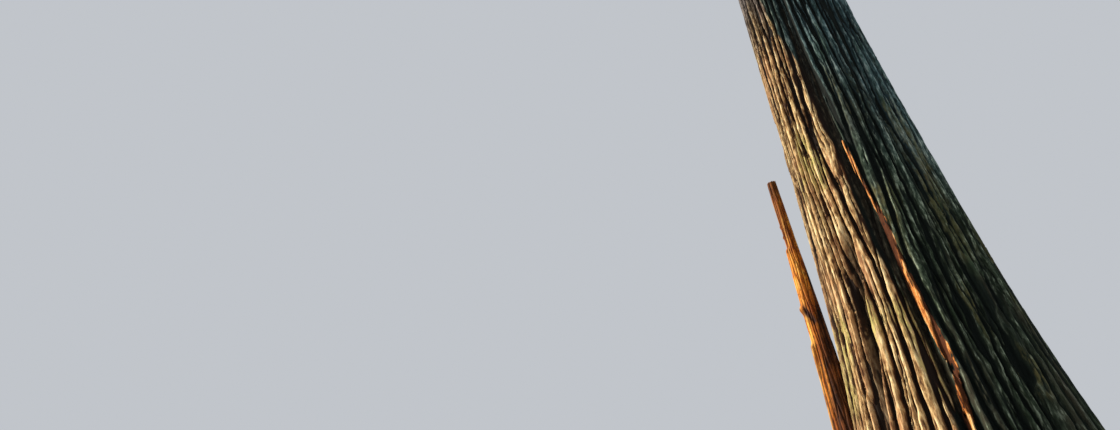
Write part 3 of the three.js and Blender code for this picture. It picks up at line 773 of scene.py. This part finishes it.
def bark_relief(angle, height):
    """How far the bark stands out from the trunk's solid, and what its material reads."""
    facing = facing_of(angle)
    turn = (angle / (2 * math.pi)) % 1

    def pattern(columns, tall, number):
        return soft_noise(turn * columns, height / tall, columns, number)

    def upright_cells(columns, tall, number, carry):
        across = turn * columns + blend(carry, sway, waver, jag)
        return cells(across % columns, height / tall, columns, number)

    def trench(flute, half, wandering, flat, *end):
        off = np.abs(away_from(facing, flute_facing(flute, height)) + wandering * waver)
        return (1 - smooth(flat, 1, off / half)) * smooth(*end, height)

    sway = pattern(*SWAY) - 0.5
    waver = pattern(*WAVER) - 0.5
    jag = JAG * pattern(*SMALL_JAG) - JAG + JAG * pattern(*LARGE_JAG)
    border, tone = upright_cells(*PLATES)
    plate = smooth(*between(PLATE_SIDE, smooth(*PLATE_HEIGHTS, height)), border)
    border, fine_tone = upright_cells(*STRANDS)
    far_left = zone(FAR_LEFT, facing)
    strand = smooth(*between(STRAND_SIDE, far_left), border)
    strand = 1 - smooth(*STRAND_BREAKS, pattern(*BREAKS)) * (1 - strand)
    chips = pattern(*CHIPS)
    size = np.clip(trunk_radius(angle, height) / SHAFT_RADIUS, *RELIEF_SIZES)

    cleft = trench(FLUTES[0], at_height(CLEFT_HALF, height), *CLEFT)
    groove = trench(FLUTES[1], GROOVE_HALF, *GROOVE)
    strip = away_from(facing, at_height(EMBER_LINE, height)) + EMBER_WAVER * waver
    strip = np.abs(strip + EMBER_RAGGED * (fine_tone - 0.5)) - (tone - 0.5)
    half = at_height(EMBER_HALF, height)
    # The strip of inner bark, whose bright orange is partly painted sunlight.
    ember = (1 - smooth(*EMBER_SIDE, strip / half)) * zone(EMBER_ENDS, height)

    stand = RIDGE_STAND - FURROW_DEPTH * (1 - plate) - STRAND_DEPTH * (1 - strand) * plate
    stand = stand - PLATE_STEP * tone - STRAND_STEP * fine_tone + CHIP_STAND * (chips - 0.5)
    stand = stand * (1 - CLEFT_CALM * cleft) * size
    stand = stand - CLEFT_DEPTH * np.maximum(cleft * (1 - ember), GROOVE_SHARE * groove)
    threads = EMBER_THREADS * (pattern(*THREADS) - 0.5)
    stand = stand + ember * (EMBER_STAND * size - EMBER_CALM * stand + threads)
    # How high the bark stands, which the material also paints as shade in the furrows.
    relief = plate * lerp(STRAND_LINE_TONE, 1, strand)
    relief = relief * blend(RIDGE_TONES, 1, tone, fine_tone, chips)
    # Painted shade: the foot of the shaded side and the far left are darker.
    foot_shade = smooth(*FOOT_SHADE_HEIGHTS, height) * zone(FOOT_SHADE_SIDE, facing)
    relief = np.clip(relief * (1 - blend(DARKER, far_left, foot_shade)), 0, 1)

    # Painted sunlight: the tan of the lit side, with painted shade beyond its ragged edge.
    ragged = blend(TAN_RAGGED, sway, waver, tone - 0.5, fine_tone - 0.5)
    painted_sunlight = smooth(-TAN_SOFT, TAN_SOFT, away_from(at_height(TAN_EDGE, height), facing) + ragged)
    painted_sunlight = painted_sunlight * smooth(*TAN_BACK, facing + TAN_BACK_SWAY * sway) * (facing < TAN_LAST)
    # The tan fades upwards into painted shade.
    painted_sun_and_brown = painted_sunlight * (1 - WARM_LOSS * smooth(*WARM_HEIGHTS, height + WARM_SWAY * sway))
    # Painted shade: the far left keeps less of the painted sunlight.
    painted_sun_and_brown = painted_sun_and_brown * (1 - FAR_LEFT_LOSS * far_left)
    # Grey-brown painted shade over the upper lit side.
    painted_upper_shade = smooth(*UPPER_SHADE_HEIGHTS, height + blend(UPPER_SHADE_RAGGED, sway, waver))
    painted_upper_shade = UPPER_SHADE * painted_sunlight * painted_upper_shade * smooth(*UPPER_SHADE_END, height)
    brown = np.maximum(smooth(*BROWN_HEIGHTS, height), smooth(*BROWN_SIDES, np.abs(facing - BROWN_FRONT)))
    painted_sun_and_brown = np.maximum(painted_sun_and_brown, blend(BROWN_WARMTH, 1, tone) * brown)
    patches = pattern(*PATCHES) + LICHEN_SPOT_SHARE * spot(LICHEN_SPOT, height, facing)
    lichen = smooth(*LICHEN_COVER, patches) * lerp(LICHEN_SHADE, 1, painted_sun_and_brown) * smooth(*LICHEN_END, height)
    # Where the painted sky light tints the upper shaded side.
    painted_sky_tint = smooth(*SLATE_HEIGHTS, height + SLATE_SWAY * sway) * zone(SLATE_SIDE, facing)
    painted_sky_tint = painted_sky_tint * smooth(*SLATE_END, height)
    # The cleft and the groove also carry a painted shadow.
    return stand, {"relief": relief, "painted_sun_and_brown": painted_sun_and_brown, "painted_upper_shade": painted_upper_shade, "ember": ember, "lichen": lichen,
                   "painted_cleft_shadow": np.maximum(cleft, groove), "painted_sky_tint": painted_sky_tint}


def build_trunk(material):
    angles = np.linspace(-math.pi, math.pi, TRUNK_COLUMNS, endpoint=False)
    heights, starts = [], []
    for name, low, high, rings in TRUNK_PIECES:
        starts.append(len(heights))
        heights.extend(np.linspace(low, high, rings)[:-1])
    heights.append(TRUNK_TOP)
    height, angle = np.meshgrid(np.array(heights), angles, indexing="ij")
    stand, marks = bark_relief(angle, height)
    radius = trunk_radius(angle, height) + stand
    radius = radius * (1 - TIP_NARROWING * smooth(TIP_FROM, TRUNK_TOP, height))
    points = np.stack([lean_at(height) + radius * np.cos(angle), radius * np.sin(angle), height], -1)
    normals = grid_normals(points)
    for start, (name, low, high, rings) in zip(starts, TRUNK_PIECES):
        rows = slice(start, start + rings)
        corners = points[rows].reshape(-1, 3)
        facets = normals[rows].reshape(-1, 3)
        faces = ring_faces(rings, TRUNK_COLUMNS)
        caps = 0
        if low == 0 or high == TRUNK_TOP:
            top = low > 0
            end = high if top else low
            first = (rings - 1) * TRUNK_COLUMNS if top else 0
            faces = np.concatenate([faces, cap_faces(first, TRUNK_COLUMNS, len(corners), top)])
            corners = np.concatenate([corners, [[lean_at(end), 0, end]]])
            facets = np.concatenate([facets, [[0, 0, 1 if top else -1]]])
            caps = 1
        piece = add_mesh(name, corners, faces, material)
        for key, values in marks.items():
            give(piece, key, np.concatenate([values[rows].ravel(), [CAP_MARK] * caps]))
        piece.data.normals_split_custom_set_from_vertices(facets)
        dress(piece, "bark", "trunk")


def dress(piece, slot, *nodes):
    """Ties a piece to the one body and hides the solids it stands for. Its slot is not used."""
    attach(piece, "root")
    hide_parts(*nodes)


# The broken dead stem.
def build_spar(material):
    share = np.linspace(0, 1, SPAR_RINGS)
    angles = np.linspace(-math.pi, math.pi, SPAR_COLUMNS, endpoint=False)
    share, angle = np.meshgrid(share, angles, indexing="ij")
    turn = (angle / (2 * math.pi)) % 1
    facing = facing_of(angle)
    splinter = 0.1
    for columns, stand, number in SPLINTERS:
        splinter = splinter + stand * soft_noise(turn * columns, share * 0 + 0.5, columns, number)
    splinter = splinter + 0.15 * np.cos(np.radians(facing - 60))
    height = share * (SPAR_HEIGHT - SPAR_BREAK * (1 - splinter))
    level = height / SPAR_HEIGHT
    waver = soft_noise(turn * 9, height / 0.5, 9, 23) - 0.5
    columns, tall = SPAR_STRANDS
    border, tone = cells((turn * columns + 0.5 * waver) % columns, height / tall, columns, 24)
    strand = smooth(0.0, 0.3, border)
    left = zone(SPAR_LEFT, facing)
    ragged = height + 0.1 * (waver + (facing + 14) / 90)
    low = smooth(0.0, 0.07, 2.62 - height + 0.15 * waver)
    slab = smooth(0.2, 0.5, swell(facing + 14 * waver, 100, 34))
    small_stubs = sum(spot(place, height, facing) for place in SMALL_STUBS)
    marks = {
        "stub": spot(STUB, height, facing) + 0.5 * small_stubs,
        "knot": spot(KNOT, height, facing),
        "hole": spot(HOLE, ragged, facing),
        "chip": smooth(3.82, 3.86, height) * left * (1 - 0.8 * smooth(3.9, 4.7, height)),
        "rind": smooth(0.3, 0.6, swell(facing + 12 * waver, -76, 34)) * low,
        "split": np.exp(-(away_from(facing + 14 * waver, -40) / 6) ** 2) * low,
        "slab": slab * smooth(0.0, 0.08, 2.3 - height + 0.2 * waver),
    }
    radius = lerp(*SPAR_RADII, level) + SPAR_FLARE * np.exp(-height / SPAR_FLARE_HEIGHT)
    radius = radius * (0.98 + 0.1 * soft_noise(turn * 4, height / 0.8, 4, 25))
    radius = radius - 0.014 * (1 - strand) * (1 - 0.5 * level) - 0.008 * tone
    for name, stand in SPAR_STANDS.items():
        radius = radius + stand * marks[name]
    x = SPAR_FOOT[0] - SPAR_LEAN * level ** SPAR_LEAN_POWER + radius * np.cos(angle)
    points = np.stack([x, SPAR_FOOT[1] + radius * np.sin(angle), height], -1).reshape(-1, 3)
    ends = [[SPAR_FOOT[0], SPAR_FOOT[1], 0.0],
            [SPAR_FOOT[0] - SPAR_LEAN, SPAR_FOOT[1], SPAR_HEIGHT - SPAR_BREAK]]
    count = len(points)
    faces = [ring_faces(SPAR_RINGS, SPAR_COLUMNS), cap_faces(0, SPAR_COLUMNS, count, False),
             cap_faces(count - SPAR_COLUMNS, SPAR_COLUMNS, count + 1, True)]
    piece = add_mesh("dead_stem_wood", np.concatenate([points, ends]), np.concatenate(faces), material)
    # The golden share is painted sunlight and the rest painted shade; the top's right is a painted
    # highlight.
    painted_sun_gold = smooth(-1.0, 1.0, (away_from(at_height(GOLD_EDGE, height), facing) + 30 * waver) / 10)
    painted_sun_gold = painted_sun_gold * smooth(*GOLD_BACK, facing)
    high = smooth(*GOLD_TOP, height)
    painted_sun_gold = painted_sun_gold * (1 - high) + high * (0.4 + 0.5 * zone(GOLD_TOP_SIDE, facing))
    painted_sun_gold = painted_sun_gold * (1 - 0.85 * smooth(4.55, 4.8, height))
    # Dark seams, hole, split, rim, slab by the trunk and the top's left: partly cracks, partly painted
    # shade.
    cracks_and_shade = (1 - smooth(0.02, 0.16, border)) * 0.85 + 1.1 * marks["hole"] + marks["split"]
    cracks_and_shade = cracks_and_shade + 0.9 * marks["slab"] + 0.75 * spot(HOLE_RIM, ragged, facing)
    cracks_and_shade = np.clip(cracks_and_shade + 0.5 * smooth(4.72, 4.86, height) * left, 0, 1)
    for name, values in {"painted_sun_gold": painted_sun_gold, "cracks_and_shade": cracks_and_shade, "rind": marks["rind"]}.items():
        give(piece, name, np.concatenate([values.ravel(), SPAR_CAP_MARKS]))
    dress(piece, "dead_wood", "dead_stem")


# The crown's plan, by the solids' rule.
def crown_reach(height):
    share = min(max((height - CROWN_LOW) / (CROWN_HIGH - CROWN_LOW), 0), 1)
    widening = lerp(CROWN_FOOT_REACH, 1, float(smooth(0, CROWN_FOOT_UNTIL, share)))
    past = max(0, (share - CROWN_TAPER_FROM) / (1 - CROWN_TAPER_FROM))
    return CROWN_REACH * widening * (1 - CROWN_TAPER_LOSS * past ** CROWN_TAPER_POWER)


class Limb:
    """A limb's line out from the trunk's axis."""

    upright = False

    def __init__(self, name, seed, height, angle, reach, rise, droop, bough_share):
        self.name = name
        self.draw = seeded(seed)
        self.height, self.angle, self.reach = height, angle, reach
        self.rise, self.droop, self.bough_share = rise, droop, bough_share
        self.start = float(trunk_radius(np.float64(angle), height)) * LIMB_START
        self.size = reach - self.start
        self.sweep = lerp(-LIMB_SWEEP, LIMB_SWEEP, self.draw())
        self.samples = self.at(np.linspace(0, 1, LIMB_SAMPLES))

    def at(self, share):
        out = share * self.size
        turned = self.angle + self.sweep * share * share
        lift = out * math.tan(self.rise) - self.droop * self.reach * share * share
        return np.stack([lean_at(self.height) + (self.start + out) * np.cos(turned),
                         (self.start + out) * np.sin(turned), self.height + lift], -1)

    def direction(self, share):
        return unit(self.at(share + 0.02) - self.at(share - 0.02))

    def radius(self, share):
        foot = max(LIMB_THICKNESS * self.reach, LIMB_LEAST)
        collar = 1 + (COLLAR - 1) * np.maximum(0, 1 - share / COLLAR_SHARE)
        return lerp(foot, STEM_END_RADIUS, np.minimum(share, 1)) * collar


class Leader(Limb):
    """The leading shoot, upwards from the trunk's tip."""

    upright = True

    def __init__(self):
        self.name = "leader"
        self.draw = seeded(SEED + 700)
        self.reach = LEADER_REACH
        self.bough_share = 0
        self.size = LEADER_HEIGHT
        self.samples = self.at(np.linspace(0, 1, LIMB_SAMPLES))

    def at(self, share):
        foot = float(lean_at(TRUNK_TOP))
        return np.stack([foot + 0 * share, 0 * share, TRUNK_TOP + GAP + share * self.size], -1)


def plan_crown():
    limbs = []
    for i, (height, facing) in enumerate(LOW_SPRAYS):
        angle = math.radians(facing - 90)
        reach = float(trunk_radius(np.float64(angle), height)) + LOW_SPRAY_REACH
        name = f"low_spray_{i + 1}"
        limbs.append(Limb(name, SEED + 500 + i, height, angle, reach, *LOW_SPRAY_LIFTS, 0))
    for i in range(CROWN_LIMBS):
        draw = seeded(SEED + 100 + i)
        share = (i + 0.5) / CROWN_LIMBS
        height = lerp(CROWN_LOW, CROWN_HIGH, share ** CROWDING)
        height = height + lerp(-LIMB_HEIGHT_SPREAD, LIMB_HEIGHT_SPREAD, draw())
        angle = FIRST_ANGLE + i * GOLDEN_ANGLE + lerp(-LIMB_ANGLE_SPREAD, LIMB_ANGLE_SPREAD, draw())
        reach = crown_reach(height) * lerp(*LIMB_REACH, draw())
        rise = lerp(*LIMB_RISE, share * share) + lerp(-LIMB_RISE_SPREAD, LIMB_RISE_SPREAD, draw())
        bough_share = lerp(*BOUGH_SHARE, draw()) if i < BOUGH_LIMBS else 0
        limbs.append(Limb(f"foliage_{i + 1:02d}", SEED + 200 + i, height, angle, reach, rise,
                          lerp(*LIMB_DROOP, share), bough_share))
    limbs.append(Leader())
    return limbs


class Crown:
    """All the limbs, and whose each space is."""

    def __init__(self):
        self.limbs = plan_crown()
        self.samples = np.concatenate([limb.samples for limb in self.limbs])

    def owns(self, points, owner):
        """Whether points lie nearest to their limb, inside the crown and off the trunk."""
        points = np.atleast_2d(points)
        distance = np.linalg.norm(points[:, None] - self.samples, axis=2)
        distance = distance.reshape(len(points), len(self.limbs), LIMB_SAMPLES).min(2)
        own = distance[:, owner].copy()
        distance[:, owner] = np.inf
        good = distance.min(1) - own > 2 * OWN_SPACE
        limb = self.limbs[owner]
        height = np.clip(points[:, 2], 0, TRUNK_TOP)
        x = points[:, 0] - lean_at(height)
        out = np.hypot(x, points[:, 1])
        if limb.upright:
            above = points[:, 2] - TRUNK_TOP
            return good & (above >= LEADER_ROOM[0]) & (above <= LEADER_ROOM[1])
        clear = out >= trunk_radius(np.arctan2(points[:, 1], x), height) + TRUNK_CLEAR
        return good & clear & (out <= limb.reach * REACH_SLACK) & (points[:, 2] < TRUNK_TOP + TOP_ROOM)


UP = np.array([0.0, 0.0, 1.0])
TIP = np.array([1.0])


class Twig:
    """A twig's line, with its droop."""

    def __init__(self, root, reach, radius, droop=TWIG_SAG):
        self.root = root
        self.reach = reach
        self.radius = radius
        self.length = float(np.linalg.norm(reach))
        self.droop = droop

    def at(self, share):
        share = np.asarray(share, float)[..., None]
        return self.root + self.reach * share - UP * (self.droop * self.length * share ** 2)

    def direction(self, share):
        share = np.asarray(share, float)[..., None]
        return unit(self.reach - UP * (2 * self.droop * self.length * share))


def twig_direction(limb, share, k, roll, turn, draw):
    """A direction turned away from a limb's own, to both sides by turns or round a shoot."""
    along = limb.direction(share)
    level = np.array([1.0, 0.0, 0.0]) if limb.upright else unit(np.cross(UP, along))
    lift = unit(np.cross(along, level))
    roll = k * GOLDEN_ANGLE if limb.upright else (k % 2) * math.pi + lerp(-roll, roll, draw())
    turn = lerp(*turn, draw())
    return (along * math.cos(turn) + level * (math.sin(turn) * math.cos(roll))
            + lift * (math.sin(turn) * math.sin(roll)))


def main_twigs(crown, owner):
    """The same twigs as in the solids, drawn in the same order."""
    limb = crown.limbs[owner]
    draw = limb.draw
    twigs = []
    first = limb.bough_share + FIRST_TWIG[0] if limb.bough_share else FIRST_TWIG[1]
    for k in range(TWIGS):
        share = lerp(first, LAST_TWIG, k / (TWIGS - 1))
        direction = twig_direction(limb, share, k, *TWIG_AIM, draw)
        length = TWIG_SHARE * limb.size * (TWIG_SHORTENING[0] - TWIG_SHORTENING[1] * share)
        length = length * lerp(*TWIG_LENGTHS, draw())
        twig = Twig(limb.at(share), direction * length, float(limb.radius(share)) * TWIG_FOOT)
        if crown.owns(twig.at(1), owner)[0]:
            twigs.append(twig)
            for _ in range(BLADE_DRAWS):
                draw()
    return twigs


def finer_twigs(crown, owner, draws):
    """More twigs by the same rule, between the main ones."""
    limb = crown.limbs[owner]
    twigs = []
    first = limb.bough_share + 0.05 if limb.bough_share else (0.05 if limb.upright else 0.24)
    shortening = 0.95 if limb.upright else 0.5
    for k in range(FINE_TWIGS):
        share = lerp(first, 0.97, (k + draws.uniform(0.1, 0.9)) / FINE_TWIGS)
        direction = twig_direction(limb, share, k, *FINE_AIM, draws.random)
        length = TWIG_SHARE * limb.size * (1.15 - shortening * share) * draws.uniform(*FINE_LENGTHS)
        for part in FINE_TRIES:
            radius = float(limb.radius(share)) * FINE_FOOT
            twig = Twig(limb.at(share), direction * length * part, radius, FINE_SAG)
            if crown.owns(twig.at([0.6, 1.0]), owner).all():
                twigs.append(twig)
                break
    return twigs


def shoots_on(line, low, high, length, scale, draws):
    """The roots and reaches of short shoots on both sides of a line."""
    count = max(2, int(length * (high - low) / (SHOOT_STEP * scale)))
    share = np.clip(lerp(low, high, (np.arange(count) + draws.uniform(0.2, 0.8, count)) / count), 0, 1)
    root = line.at(share)
    along = line.direction(share)
    level = np.cross(UP, along)
    turn = np.arange(count) * GOLDEN_ANGLE
    around = np.stack([np.cos(turn), np.sin(turn), 0 * turn], -1)
    steep = np.linalg.norm(level, axis=-1, keepdims=True) < 0.2
    level = np.where(steep, around, unit(level))
    side = np.where(steep[:, 0] | (np.arange(count) % 2 == 1), 1.0, -1.0)[:, None]
    lift = draws.normal(0, SHOOT_SPREAD, (count, 1)) - SHOOT_SAG
    aside = draws.uniform(*SHOOT_ASIDE, (count, 1))
    reach = along * SHOOT_AHEAD + level * side * aside + UP * lift
    size = SHOOT_LENGTH * scale * (1 - SHOOT_SHORTENING * share)
    size = size * draws.uniform(*SHOOT_LENGTHS, count)
    return root, unit(reach) * size[:, None]


def lumpy_tube(limb, start, mesh, draws):
    """A limb's wood from a place on it to its end, or from its foot to the bough's end."""
    rings, sides, lumps = mesh
    share = np.linspace(start, 1 if start or not limb.bough_share else limb.bough_share, rings)
    bumps = 1 + lumps * (draws.random((rings, sides)) - 0.5)
    return tube(limb.at(share), limb.radius(share), sides, bumps)


def grow(crown, owner, wood, fronds):
    """Adds a limb's stem, twigs and shoots to wood, and its sprays to fronds."""
    limb = crown.limbs[owner]
    draws = draws_of(2000 + owner)
    scale = min(max(limb.size / FULL_LIMB, SMALLEST_SPRAYS), 1)
    start = limb.bough_share or (0.0 if limb.upright else 0.02)
    wood.append(lumpy_tube(limb, start, STEM_MESH, draws))
    roots, reaches = [], []

    def shoot(line, low, tip, length):
        root, reach = shoots_on(line, low, 1.0, length, scale, draws)
        roots.extend([root, line.at(TIP)])
        reaches.extend([reach, line.direction(TIP) * SHOOT_LENGTH * tip * scale])

    for twig in main_twigs(crown, owner) + finer_twigs(crown, owner, draws):
        share = np.linspace(0, 1, TWIG_MESH[0])
        wood.append(tube(twig.at(share), lerp(twig.radius, TWIG_END_RADIUS * 0.5, share), TWIG_MESH[1]))
        shoot(twig, 0.16, TIP_SHOOTS[0], twig.length)
    low = limb.bough_share + 0.02 if limb.bough_share else (0.0 if limb.upright else 0.2)
    shoot(limb, low, TIP_SHOOTS[1], limb.size)
    roots, reaches = np.concatenate(roots), np.concatenate(reaches)
    if limb.upright:
        narrowing = np.clip(1.1 - 0.95 * (roots[:, 2:] - TRUNK_TOP) / LEADER_HEIGHT, 0.3, 1)
        reaches = (reaches + 0.5 * UP * np.linalg.norm(reaches, axis=1, keepdims=True)) * narrowing
    for part in FINE_TRIES:
        halfway = crown.owns(roots + reaches / 2, owner)
        inside = crown.owns(roots + reaches, owner) & halfway
        if part > FINE_TRIES[-1]:
            reaches[~inside] *= SHOOT_TRY
    roots, reaches = roots[inside], reaches[inside]
    for root, reach in zip(roots, reaches):
        path = root + reach * np.array([[0.0], [1.0]])
        wood.append(tube(path, [SHOOT_RADIUS, SHOOT_RADIUS * 0.4], 3))
    side = unit(np.cross(UP, reaches))
    along = unit(reaches)
    for place, ahead, aside in FRONDS:
        start = roots + reaches * place
        lift = draws.normal(FROND_SAG, FROND_SPREAD, (len(roots), 1))
        heading = unit(along * ahead + side * aside + UP * lift)
        flat = unit(UP + draws.normal(0, FROND_TILT, (len(roots), 3)))
        length = FROND_LENGTH * scale * draws.uniform(*FROND_LENGTHS, len(roots))
        if limb.upright:
            length = np.minimum(length, 1.1 * np.linalg.norm(reaches, axis=1))
            heading = unit(heading + 0.5 * UP)
        inside = crown.owns(start + heading * (length * FROND_INSIDE)[:, None], owner)
        fronds.append((start[inside], heading[inside], flat[inside], length[inside]))


# Needle sprays.
def frond_template(number):
    """A spray of unit length: a spine and two ranks of needles, one triangle each."""
    draws = draws_of(40 + number)
    half = SPINE_WIDTH / 2
    triangles = [[(0, half, 0), (0, -half, 0), (1, 0, -SPRAY_SAG)]]
    half = NEEDLE_WIDTH / 2
    for k in range(NEEDLES_A_SIDE):
        for side in (-1, 1):
            start = (k + 0.35 + 0.3 * draws.random()) / (NEEDLES_A_SIDE + 0.4)
            reach = NEEDLE_REACH * (1 - 0.62 * start ** 2) * draws.uniform(0.85, 1.12)
            slant = math.radians(draws.uniform(*NEEDLE_SLANT))
            low = -SPRAY_SAG - 0.1 * reach
            tip = (start + reach * math.cos(slant), side * reach * math.sin(slant), low)
            back, front = (start - half, 0, -SPRAY_SAG * start), (start + half, 0, -SPRAY_SAG * start)
            triangles.append([back, front, tip] if side > 0 else [front, back, tip])
    return np.array(triangles).reshape(-1, 3)


def build_needles(fronds, masses):
    """One mesh for each colour, the lighter ones mostly further out as painted sunlight, the darker ones
    within as painted shade.
    """
    place, heading, flat, length = (np.concatenate(part) for part in zip(*fronds))
    side = unit(np.cross(flat, heading))
    lift = np.cross(heading, side)
    draws = draws_of(50)
    out = np.hypot(place[:, 0] - lean_at(place[:, 2]), place[:, 1])
    outer = np.clip(out / np.maximum([crown_reach(z) for z in place[:, 2]], 0.4), 0, 1.1)
    order = np.argsort(np.argsort(outer + draws.normal(0, COLOUR_SPREAD, len(place)))) / len(place)
    template = np.array([frond_template(number) for number in range(TEMPLATES)])
    choice = draws.integers(0, TEMPLATES, len(place))
    low = 0.0
    for name, (colour, part) in NEEDLE_COLOURS.items():
        chosen = (order >= low) & (order < low + part + 1e-9)
        low += part
        shape = template[choice[chosen]] * length[chosen][:, None, None]
        points = (place[chosen][:, None] + shape[..., :1] * heading[chosen][:, None]
                  + shape[..., 1:2] * side[chosen][:, None] + shape[..., 2:] * lift[chosen][:, None])
        points = points.reshape(-1, 3)
        faces = np.arange(len(points)).reshape(-1, 3)
        needles = add_mesh(name, points, faces, plain_material(name, colour, 0.55, 0.35), False)
        dress(needles, "foliage", *masses)


def build_crown(bough_bark):
    crown = Crown()
    masses = [limb.name for limb in crown.limbs]
    boughs, bare, wood, fronds = [], [], [], []
    for number, limb in enumerate(crown.limbs):
        if limb.bough_share:
            draws = draws_of(3000 + number)
            boughs.append(lumpy_tube(limb, 0.0, BOUGH_MESH, draws))
            bare.append(limb.name.replace("foliage", "bough"))
    dress(add_mesh("boughs", *joined(boughs), bough_bark), "bough_bark", *bare)
    for owner in range(len(crown.limbs)):
        grow(crown, owner, wood, fronds)
    dress(add_mesh("twigs", *joined(wood), bough_bark), "bough_bark", *masses)
    build_needles(fronds, masses)


# Floor, light and camera.
def build_stage():
    points = FLOOR_HALF * np.array([[-1, -1, 0], [1, -1, 0], [1, 1, 0], [-1, 1, 0]])
    material = plain_material("floor", FLOOR_COLOUR, 0.9)
    floor = add_mesh("floor", points, [[0, 1, 2, 3]], material, False)
    floor.location.z = -FLOOR_GAP
    world = bpy.data.worlds.new("studio")
    world.use_nodes = True
    background = world.node_tree.nodes["Background"]
    background.inputs["Color"].default_value = STUDIO_COLOUR
    background.inputs["Strength"].default_value = STUDIO_STRENGTH
    bpy.context.scene.world = world


def add_sun(name, facing, height, strength, softness, colour):
    """A soft sun from a facing and a height in degrees."""
    light = bpy.data.lights.new(name, "SUN")
    light.energy = strength
    light.angle = math.radians(softness)
    light.color = colour
    add_object(name, light).rotation_euler = (math.radians(90 - height), 0, math.radians(facing))


def build_camera():
    bpy.context.scene.view_settings.view_transform = "Standard"
    camera = add_object("camera", bpy.data.cameras.new("camera"))
    camera.data.lens = CAMERA_LENS
    camera.data.sensor_width = SENSOR_WIDTH
    camera.data.clip_end = CAMERA_SIGHT
    camera.location = CAMERA_PLACE
    camera.rotation_euler = (math.radians(90 + CAMERA_RISE), 0, math.radians(CAMERA_TURN))
    bpy.context.scene.camera = camera


build_trunk(bark_material())
build_spar(dead_wood_material())
build_crown(bough_material())
build_stage()
for sun in SUNS:
    add_sun(*sun)
build_camera()
